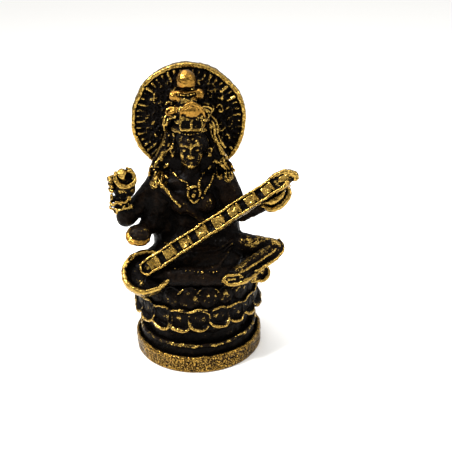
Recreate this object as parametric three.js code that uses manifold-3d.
// A small cast figure of a seated goddess who plays a veena with two hands and
// raises a third with a bud and a rosary, on a round lotus pedestal with a halo
// behind the head. Millimetres, +Z up; the figure faces -Y and the origin is the
// centre of the flat underside. "Right" and "left" are the figure's own, so its
// right hand is on -X.
import * as THREE from "three";
import { mergeVertices } from "three/addons/utils/BufferGeometryUtils.js";
import Module from "manifold-3d";

const wasm = await Module();
wasm.setup();

// Driving dimensions
const BASE_RADIUS = 10.3;
const PLINTH_HEIGHT = 2.75;
const RING_TOP = 4.6; // top of the thin moulding above the plinth
const WAIST_TOP = 7.4; // top of the hollowed neck under the petals
const LOWER_PETAL_TOP = 10.9;
const SEAT_TOP = 13.8; // flat top the legs rest on
const PETAL_COUNT = 20;
const HALO_RADIUS = 8.8;
const HALO_HEIGHT = 36.2; // centre of the halo above the underside
const HALO_FRONT = 4; // y of the halo's front face
const HALO_THICKNESS = 1.1;
const LEAN = -0.6; // x of the crown and halo: the figure leans a little
const HEAD_WIDTH = 4.2;
const VEENA_WIDTH = 2.3;
const VEENA_DEPTH = 1.7;
const GOURD_RADIUS = 3.75;
const FRET_COUNT = 8;
const GAP = 0.3; // clearance between neighbouring pieces

const v = (x, y, z) => new THREE.Vector3(x, y, z);

// --- solids ------------------------------------------------------------

function manifoldOf(positions, triangles) {
  return new wasm.Manifold(new wasm.Mesh({
    numProp: 3,
    vertProperties: new Float32Array(positions),
    triVerts: new Uint32Array(triangles),
  }));
}

// Turns a closed three.js geometry into a manifold solid whose faces point out.
function toSolid(geometry) {
  geometry.deleteAttribute("normal");
  geometry.deleteAttribute("uv");
  const merged = mergeVertices(geometry, 1e-4);
  const index = merged.index.array;
  const triangles = [];
  for (let i = 0; i < index.length; i += 3) {
    const [a, b, c] = [index[i], index[i + 1], index[i + 2]];
    if (a !== b && b !== c && c !== a) triangles.push(a, b, c);
  }
  const positions = merged.attributes.position.array;
  const solid = manifoldOf(positions, triangles);
  return solid.volume() > 0 ? solid : manifoldOf(positions, triangles.reverse());
}

// Rotation that takes +Y to the given direction.
function alongY(direction) {
  return new THREE.Quaternion().setFromUnitVectors(v(0, 1, 0), direction.clone().normalize());
}

// A turned solid: profile pairs are (radius, height) about the Z axis.
function turned(profile, segments) {
  const points = profile.map(([radius, height]) => new THREE.Vector2(radius, height));
  return toSolid(new THREE.LatheGeometry(points, segments).rotateX(Math.PI / 2));
}

// A round tapered limb with domed ends.
function limb(from, to, fromRadius, toRadius, grow = 0, segments = 12) {
  const length = from.distanceTo(to);
  const domeSteps = 3;
  const points = [];
  for (let i = 0; i <= domeSteps; i++) {
    const angle = (Math.PI / 2) * (1 - i / domeSteps);
    const radius = fromRadius + grow;
    points.push(new THREE.Vector2(Math.cos(angle) * radius, -Math.sin(angle) * radius));
  }
  for (let i = 0; i <= domeSteps; i++) {
    const angle = (Math.PI / 2) * (i / domeSteps);
    const radius = toRadius + grow;
    points.push(new THREE.Vector2(Math.cos(angle) * radius, length + Math.sin(angle) * radius));
  }
  points[0].x = 0;
  points[points.length - 1].x = 0;
  const geometry = new THREE.LatheGeometry(points, segments);
  geometry.applyQuaternion(alongY(to.clone().sub(from)));
  geometry.translate(from.x, from.y, from.z);
  return toSolid(geometry);
}

// An ellipsoid, turned about the Y axis by a tilt in degrees.
function egg(centre, radii, grow = 0, tilt = 0, segments = 14) {
  const geometry = new THREE.SphereGeometry(1, segments, Math.round(segments * 0.6));
  geometry.scale(radii.x + grow, radii.y + grow, radii.z + grow);
  geometry.rotateY(THREE.MathUtils.degToRad(tilt));
  geometry.translate(centre.x, centre.y, centre.z);
  return toSolid(geometry);
}

// A round bar along a smooth path.
function bar(points, radius, grow = 0, steps = 10, sides = 8) {
  const section = new THREE.Shape();
  section.absarc(0, 0, radius + grow, 0, Math.PI * 2, false);
  return toSolid(new THREE.ExtrudeGeometry(section, {
    steps, curveSegments: sides / 2, bevelEnabled: false,
    extrudePath: new THREE.CatmullRomCurve3(points),
  }));
}

// A closed ring of round section about a direction.
function ring(centre, direction, radius, thickness, grow = 0, segments = 18) {
  const geometry = new THREE.TorusGeometry(radius, thickness + grow, 6, segments);
  const turn = new THREE.Quaternion().setFromUnitVectors(v(0, 0, 1), direction.clone().normalize());
  geometry.applyQuaternion(turn).translate(centre.x, centre.y, centre.z);
  return toSolid(geometry);
}

const join = (...solids) => solids.reduce((sum, solid) => sum.add(solid));

// --- the assembly ----------------------------------------------------------

const statue = new THREE.Group();
const placed = [];
const finishes = {
  polished: { color: 0xb8923f, roughness: 0.35, metalness: 1 },
  patina: { color: 0x2b2117, roughness: 0.5, metalness: 0.8 },
};

function boxesMeet(a, b) {
  return [0, 1, 2].every((axis) => a.min[axis] < b.max[axis] && b.min[axis] < a.max[axis]);
}

// Adds one named piece. It is trimmed to stand GAP clear of every piece placed
// before it; `shape(grow)` gives the piece's outline, larger all round by `grow`.
function place(name, finish, shape, carve = (solid) => solid) {
  let solid = carve(shape(0));
  for (const earlier of placed) {
    if (boxesMeet(solid.boundingBox(), earlier.boundingBox())) solid = solid.subtract(earlier);
  }
  if (solid.isEmpty()) throw new Error(`${name} is hidden inside its neighbours`);
  const bodies = solid.decompose().sort((a, b) => b.volume() - a.volume());
  solid = bodies[0];
  placed.push(shape(GAP));
  const { vertProperties, triVerts } = solid.getMesh();
  const geometry = new THREE.BufferGeometry();
  geometry.setAttribute("position", new THREE.BufferAttribute(new Float32Array(vertProperties), 3));
  geometry.setIndex(new THREE.BufferAttribute(new Uint32Array(triVerts), 1));
  geometry.computeVertexNormals();
  const mesh = new THREE.Mesh(geometry, new THREE.MeshStandardMaterial(finishes[finish]));
  mesh.name = name;
  statue.add(mesh);
}

// --- pedestal ----------------------------------------------------------------

const ROUND = 48; // facets round the pedestal

place("plinth", "polished", (grow) => turned([
  [0, -grow], [BASE_RADIUS - 0.1 + grow, -grow], [BASE_RADIUS + grow, 0.15],
  [BASE_RADIUS - 0.05 + grow, PLINTH_HEIGHT - 0.2 + grow],
  [BASE_RADIUS - 0.25 + grow, PLINTH_HEIGHT + grow], [0, PLINTH_HEIGHT + grow],
], ROUND));

place("plinth_ring", "patina", (grow) => {
  const foot = PLINTH_HEIGHT + GAP - grow;
  const radius = BASE_RADIUS - 0.85 + grow;
  return turned([
    [0, foot], [radius - 0.35, foot], [radius - 0.3, RING_TOP - 0.7], [radius, RING_TOP - 0.4],
    [radius - 0.1, RING_TOP - 0.1 + grow], [radius - 0.5, RING_TOP + grow], [0, RING_TOP + grow],
  ], ROUND);
});

place("lotus_waist", "patina", (grow) => {
  const foot = RING_TOP + GAP - grow;
  const top = WAIST_TOP + grow;
  const radius = BASE_RADIUS - 1.9 + grow;
  return turned([
    [0, foot], [radius + 0.35, foot], [radius - 0.1, foot + 0.7], [radius, top - 0.7],
    [radius + 0.6, top], [0, top],
  ], ROUND);
});

const CORE_RADIUS = BASE_RADIUS - 2.6;
place("lotus_seat", "patina", (grow) => {
  const foot = WAIST_TOP + GAP - grow;
  return turned([
    [0, foot], [CORE_RADIUS + grow, foot], [CORE_RADIUS + grow, SEAT_TOP + grow],
    [0, SEAT_TOP + grow],
  ], ROUND);
});

// A ring of petals: `swell(u, w)` gives how far the outer face stands out, for
// u across one petal (-1 to 1) and w up its height (0 to 1); `lift(u, w)` moves
// the edge up or down.
function petalRing(foot, top, outer, swell, lift, grow) {
  const rows = 4;
  const columns = PETAL_COUNT * 4;
  const inner = CORE_RADIUS + GAP - grow;
  const profile = [new THREE.Vector2(inner, foot - grow)];
  for (let row = 0; row <= rows; row++) {
    const height = THREE.MathUtils.lerp(foot - grow, top + grow, row / rows);
    profile.push(new THREE.Vector2(outer, height));
  }
  profile.push(new THREE.Vector2(inner, top + grow), profile[0].clone());
  const geometry = new THREE.LatheGeometry(profile, columns).rotateX(Math.PI / 2);
  const position = geometry.attributes.position;
  for (let i = 0; i < position.count; i++) {
    const [x, y, z] = [position.getX(i), position.getY(i), position.getZ(i)];
    if (Math.hypot(x, y) < outer - 0.1) continue;
    const angle = Math.atan2(y, x);
    const petal = angle * PETAL_COUNT / (2 * Math.PI);
    const u = 2 * (petal - Math.round(petal));
    const w = THREE.MathUtils.clamp((z - foot) / (top - foot), 0, 1);
    const radius = outer + swell(u, w) + grow;
    position.setXYZ(i, Math.cos(angle) * radius, Math.sin(angle) * radius, z + lift(u, w));
  }
  return toSolid(geometry);
}

place("lotus_lower_petals", "patina", (grow) => petalRing(
  WAIST_TOP + 0.6, LOWER_PETAL_TOP, BASE_RADIUS - 0.2,
  (u, w) => -0.9 * (1 - u ** 2) * Math.sin(Math.PI * w) - 0.3 * w,
  (u, w) => -0.25 * (1 - u ** 2) * (1 - w),
  grow,
));

place("lotus_upper_petals", "patina", (grow) => petalRing(
  LOWER_PETAL_TOP + GAP, SEAT_TOP - 0.2, BASE_RADIUS - 1.1,
  (u, w) => 0.35 * (1 - u ** 2) * Math.sin(Math.PI * w) - 0.5 * w ** 2,
  (u, w) => 0.3 * (1 - u ** 2) * w,
  grow,
));

// --- halo ----------------------------------------------------------------------

// Turned about the Y axis through the halo's centre.
function haloSolid(profile, segments) {
  const points = profile.map(([radius, depth]) => new THREE.Vector2(radius, depth));
  const geometry = new THREE.LatheGeometry(points, segments);
  geometry.translate(LEAN, HALO_FRONT, HALO_HEIGHT);
  return toSolid(geometry);
}

const RIM_WIDTH = 0.7;
const RIM_PROUD = 0.3;
place("halo_rim", "polished", (grow) => {
  const outer = HALO_RADIUS + grow;
  const inner = HALO_RADIUS - RIM_WIDTH - grow;
  const front = -RIM_PROUD - grow;
  const back = HALO_THICKNESS + 0.1 + grow;
  return haloSolid([
    [inner, front + 0.15], [inner + 0.2, front], [outer - 0.2, front], [outer, front + 0.25],
    [outer, back - 0.2], [outer - 0.2, back], [inner, back], [inner, front + 0.15],
  ], 40);
});

const RAY_COUNT = 28;
place("halo_disc", "patina", (grow) => {
  const radius = HALO_RADIUS - RIM_WIDTH - GAP + grow;
  const disc = haloSolid([
    [0, -grow], [radius, -grow], [radius, HALO_THICKNESS + grow], [0, HALO_THICKNESS + grow],
  ], 40);
  if (grow > 0) return disc;
  const rays = [];
  for (let i = 0; i < RAY_COUNT; i++) {
    const ray = new THREE.BoxGeometry(1.9, 0.6, 0.4);
    ray.translate(radius - 1.1, 0, 0);
    ray.rotateY((i / RAY_COUNT) * 2 * Math.PI);
    ray.translate(LEAN, HALO_FRONT, HALO_HEIGHT);
    rays.push(toSolid(ray));
  }
  return join(disc, ...rays);
});

// --- veena -----------------------------------------------------------------------

// The neck runs from the gourd on the figure's right knee up past its left
// shoulder; its fingerboard faces forward and a little up.
const neckFoot = v(-7.0, -8.0, 17.4);
const neckTop = v(12.2, -5.2, 29.4);
const neckAxis = neckTop.clone().sub(neckFoot).normalize();
const neckFace = v(-0.18, -0.86, 0.48);
neckFace.addScaledVector(neckAxis, -neckFace.dot(neckAxis)).normalize();
const neckLength = neckFoot.distanceTo(neckTop);
// x across the fingerboard, y along the neck, z out of the fingerboard
const neckFrame = new THREE.Matrix4().makeBasis(
  new THREE.Vector3().crossVectors(neckAxis, neckFace), neckAxis, neckFace,
).setPosition(neckFoot);

// A flat bar with a round lower end, in the neck's own frame.
function fingerboard(halfWidth, length, bottom, top) {
  const outline = new THREE.Shape();
  outline.moveTo(halfWidth, 0);
  outline.lineTo(halfWidth, length);
  outline.lineTo(-halfWidth, length);
  outline.lineTo(-halfWidth, 0);
  outline.absarc(0, 0, halfWidth, Math.PI, 2 * Math.PI, false);
  const geometry = new THREE.ExtrudeGeometry(outline, {
    depth: top - bottom, bevelEnabled: false, curveSegments: 6,
  });
  return toSolid(geometry.translate(0, 0, bottom).applyMatrix4(neckFrame));
}

const CHANNEL_DEPTH = 0.7;
const RAIL_WIDTH = 0.28;
place("veena_neck", "polished", (grow) => {
  const body = fingerboard(VEENA_WIDTH / 2 + grow, neckLength + grow, -VEENA_DEPTH - grow, grow);
  const channel = fingerboard(
    VEENA_WIDTH / 2 - RAIL_WIDTH - grow, neckLength + 1, -CHANNEL_DEPTH + grow, 1);
  return body.subtract(channel);
});

const FRET_PITCH = neckLength / FRET_COUNT;
for (let i = 0; i < FRET_COUNT; i++) {
  const block = new THREE.BoxGeometry(
    VEENA_WIDTH - 2 * RAIL_WIDTH - 2 * GAP, FRET_PITCH * 0.6, CHANNEL_DEPTH - GAP,
  );
  block.translate(0, FRET_PITCH * (i + 0.45), -(CHANNEL_DEPTH - GAP) / 2);
  block.applyMatrix4(neckFrame);
  place(`veena_fret_${i + 1}`, "polished", () => toSolid(block.clone()));
}

// The peg head: a widening block that ends in a small curved knob.
const headRoot = neckTop.clone().addScaledVector(neckAxis, 1.0);
const headTip = neckTop.clone().addScaledVector(neckAxis, 3.4).add(v(0, 0, 0.2));
place("veena_head", "polished", (grow) => join(
  limb(headRoot.clone().addScaledVector(neckFace, -0.9), headTip.clone().addScaledVector(
    neckFace, -0.9), 1.45, 0.85, grow),
  egg(headTip.clone().add(v(0.3, 0, -0.3)), v(0.8, 0.8, 1.1), grow),
));

// The gourd: a shallow bowl lying on the knee, open face up and forward.
const gourdFace = v(-7.15, -7.5, 16.6);
const gourdAxis = v(0.08, -0.56, 0.83).normalize();
place("veena_gourd", "polished", (grow) => {
  const wall = GOURD_RADIUS + grow;
  const points = [
    [0, -2.9 - grow], [1.9 + grow, -2.6 - grow], [3.1 + grow, -1.8 - grow], [wall - 0.1, -1.2],
    [wall, -0.3], [wall - 0.2, grow], [0, grow],
  ].map(([radius, height]) => new THREE.Vector2(radius, height));
  const geometry = new THREE.LatheGeometry(points, 28);
  geometry.applyQuaternion(alongY(gourdAxis)).translate(gourdFace.x, gourdFace.y, gourdFace.z);
  return toSolid(geometry);
}, (solid) => {
  const dish = new THREE.LatheGeometry([
    new THREE.Vector2(0, -0.7), new THREE.Vector2(GOURD_RADIUS - 1.1, -0.6),
    new THREE.Vector2(GOURD_RADIUS - 0.75, 0.5), new THREE.Vector2(0, 0.5),
  ], 28);
  dish.applyQuaternion(alongY(gourdAxis)).translate(gourdFace.x, gourdFace.y, gourdFace.z);
  return solid.subtract(toSolid(dish));
});

// --- legs and drape -----------------------------------------------------------------

place("left_shin", "patina", (grow) => limb(
  v(12.7, -3.3, 18.2), v(6.9, -7.0, 16.7), 1.65, 1.3, grow));
place("left_foot", "polished", (grow) => join(
  egg(v(5.2, -8.0, 15.8), v(1.9, 1.1, 0.95), grow, 12),
  egg(v(3.9, -8.3, 15.5), v(0.8, 0.8, 0.7), grow),
));
place("left_thigh", "patina", (grow) => limb(
  v(3.6, 0.2, 17.4), v(11.3, -1.7, 18.3), 2.4, 1.9, grow));
place("right_thigh", "patina", (grow) => limb(
  v(-3.2, 0.3, 17.0), v(-9.0, -2.6, 16.3), 2.4, 2.0, grow));
place("right_shin", "patina", (grow) => bar([
  v(-8.8, -4.9, 15.6), v(-4.0, -6.6, 15.7), v(0.5, -7.2, 15.6), v(6.8, -6.0, 15.5),
], 1.45, grow));
place("right_foot", "polished", (grow) => egg(v(9.7, -4.9, 15.1), v(1.6, 1.7, 1.05), grow, -15));

// --- torso ---------------------------------------------------------------------------

// Jewellery first, so that the body is trimmed to lie under it. The pendant
// hangs in the fork of the necklace.
place("pendant", "polished", (grow) => egg(v(0.1, -3.2, 26.7), v(0.85, 0.55, 1.15), grow, 0, 12));
for (const [side, sign, top] of [["right", -1, 28.9], ["left", 1, 29.4]]) {
  const bend = v(sign * 1.9, -2.9, 28.0);
  place(`necklace_${side}`, "polished", (grow) => join(
    limb(v(sign * 1.3, -3.15, 27.4), bend, 0.4, 0.4, grow, 8),
    limb(bend, v(sign * 3.3, -1.9, top), 0.4, 0.4, grow, 8),
  ));
}
for (const [side, x] of [["right", -5.0], ["left", 4.5]]) {
  place(`${side}_shoulder_ornament`, "polished", (grow) => egg(
    v(x, -1.4, 28.2), v(1.15, 0.7, 0.9), grow, 0, 12));
}

// An oval body of revolution, flattened front to back, on its own centre line.
const TORSO_FLATNESS = 0.66;
place("torso", "patina", (grow) => {
  const profile = [
    [0, 16.2 - grow], [3.6, 16.2 - grow], [4.1, 17.6], [3.6, 19.6], [3.3, 21.4], [3.9, 23.4],
    [4.6, 25.2], [5.6, 26.9], [5.3, 28.1], [3.4, 29.0 + grow], [0, 29.2 + grow],
  ].map(([radius, height]) => new THREE.Vector2(radius && radius + grow, height));
  const geometry = new THREE.LatheGeometry(profile, 22).rotateX(Math.PI / 2);
  geometry.scale(1, TORSO_FLATNESS, 1).translate(-0.3, 0.5, 0);
  return toSolid(geometry);
});
place("hips", "patina", (grow) => egg(v(0, 1.4, 16.9), v(6.6, 4.8, 2.9), grow));
place("sari_lap", "patina", (grow) => egg(v(0.8, -3.6, 16.5), v(6.8, 3.6, 2.3), grow));
place("neck", "patina", (grow) => limb(v(-0.4, 0.6, 29.9), v(-0.35, 0.4, 31.2), 1.35, 1.3, grow));

// --- head and hair ---------------------------------------------------------------------

const headCentre = v(LEAN / 3, 0.1, 33.2);
place("head", "patina", (grow) => join(
  egg(headCentre, v(HEAD_WIDTH / 2, 2.3, 2.95), grow, 0, 16),
  egg(headCentre.clone().add(v(0, -1.2, -2.1)), v(1.0, 0.8, 0.75), grow), // chin
  limb(headCentre.clone().add(v(0, -2.15, 0.5)), headCentre.clone().add(v(0, -2.45, -0.4)),
    0.25, 0.35, grow, 8), // nose
));
for (const [side, sign] of [["right", -1], ["left", 1]]) {
  place(`${side}_earring`, "polished", (grow) => egg(
    headCentre.clone().add(v(sign * (HEAD_WIDTH / 2 + 0.7), -0.4, -0.6)), v(0.4, 0.4, 0.75), grow,
    0, 10));
}
place("right_hair_lock", "patina", (grow) => bar([
  v(-3.3, 0.4, 36.6), v(-3.9, 0.1, 34.6), v(-5.3, -0.2, 32.0), v(-6.8, -0.5, 29.6),
], 0.6, grow));
place("left_hair_lock", "patina", (grow) => bar([
  v(2.4, 0.4, 36.9), v(3.2, 0.1, 34.6), v(4.7, -0.2, 31.6), v(6.0, -0.5, 29.0),
], 0.6, grow));

// --- crown -------------------------------------------------------------------------------

const crownCentre = v(LEAN * 0.5, 0.5, 0);
function crownTier(foot, top, radius, grow) {
  const solid = turned([
    [0, foot - grow], [radius - 0.15 + grow, foot - grow], [radius + grow, foot + 0.2],
    [radius + grow, top - 0.2], [radius - 0.15 + grow, top + grow], [0, top + grow],
  ], 24);
  return solid.translate([crownCentre.x, crownCentre.y, 0]);
}
place("crown_band", "patina", (grow) => crownTier(36.2, 37.8, 2.4, grow));
place("crown_medallion", "polished", (grow) => egg(
  v(0.1, -1.5, 39.1), v(1.6, 0.75, 1.1), grow));
for (const [side, sign] of [["right", -1], ["left", 1]]) {
  place(`crown_${side}_boss`, "polished", (grow) => egg(
    v(crownCentre.x + sign * 2.4, -0.1, 38.8), v(0.85, 0.8, 0.7), grow, 0, 12));
}
place("crown_tier", "patina", (grow) => crownTier(38.1, 39.8, 2.0, grow));
place("crown_roll", "polished", (grow) => egg(
  v(LEAN, 0.8, 41.0), v(2.35, 1.5, 0.85), grow, 0, 18));
place("crown_finial", "polished", (grow) => limb(
  v(LEAN, 0.9, 42.6), v(LEAN, 0.9, 43.1), 1.4, 1.35, grow, 18));

// The hair falls behind the neck from crown to shoulders.
place("hair", "patina", (grow) => join(
  egg(v(-0.4, 2.0, 34.4), v(3.3, 1.9, 3.6), grow),
  egg(v(-0.5, 2.3, 31.0), v(5.4, 1.6, 3.2), grow),
));

// --- arms -----------------------------------------------------------------------------------

place("right_rear_upper_arm", "patina", (grow) => limb(
  v(-5.9, 0.9, 26.9), v(-9.9, -0.9, 23.2), 1.65, 1.35, grow));
place("right_rear_hand", "polished", (grow) => join(
  egg(v(-10.5, -2.0, 27.4), v(1.95, 1.4, 1.9), grow),
  limb(v(-11.0, -2.0, 25.9), v(-10.9, -2.0, 25.4), 0.9, 0.9, grow),
));
place("lotus_bud", "polished", (grow) => egg(v(-10.2, -2.2, 29.6), v(1.15, 1.1, 1.15), grow));
place("right_rear_forearm", "patina", (grow) => limb(
  v(-10.7, -1.7, 22.6), v(-10.9, -1.95, 24.2), 1.1, 0.85, grow));
place("rosary", "polished", (grow) => ring(
  v(-10.9, -2.0, 24.6), v(0.25, -0.5, 0.85), 1.75, 0.42, grow));

place("right_front_hand", "polished", (grow) => egg(v(-8.1, -4.2, 21.0), v(1.85, 1.7, 1.45), grow, 15));
place("right_front_upper_arm", "patina", (grow) => limb(
  v(-5.6, -0.6, 25.0), v(-6.6, -0.6, 21.9), 1.5, 1.35, grow));
place("right_front_forearm", "patina", (grow) => limb(
  v(-7.0, -1.6, 21.0), v(-7.7, -2.9, 21.0), 1.25, 1.15, grow));

place("left_hand", "polished", (grow) => egg(v(12.3, -3.7, 26.6), v(1.65, 1.6, 1.5), grow, -30));
place("left_upper_arm", "patina", (grow) => limb(
  v(5.5, 0.5, 26.4), v(7.7, -0.7, 22.0), 1.65, 1.4, grow));
place("left_forearm", "patina", (grow) => limb(
  v(8.7, -1.3, 22.3), v(11.3, -3.0, 25.2), 1.3, 1.1, grow));

export default statue;
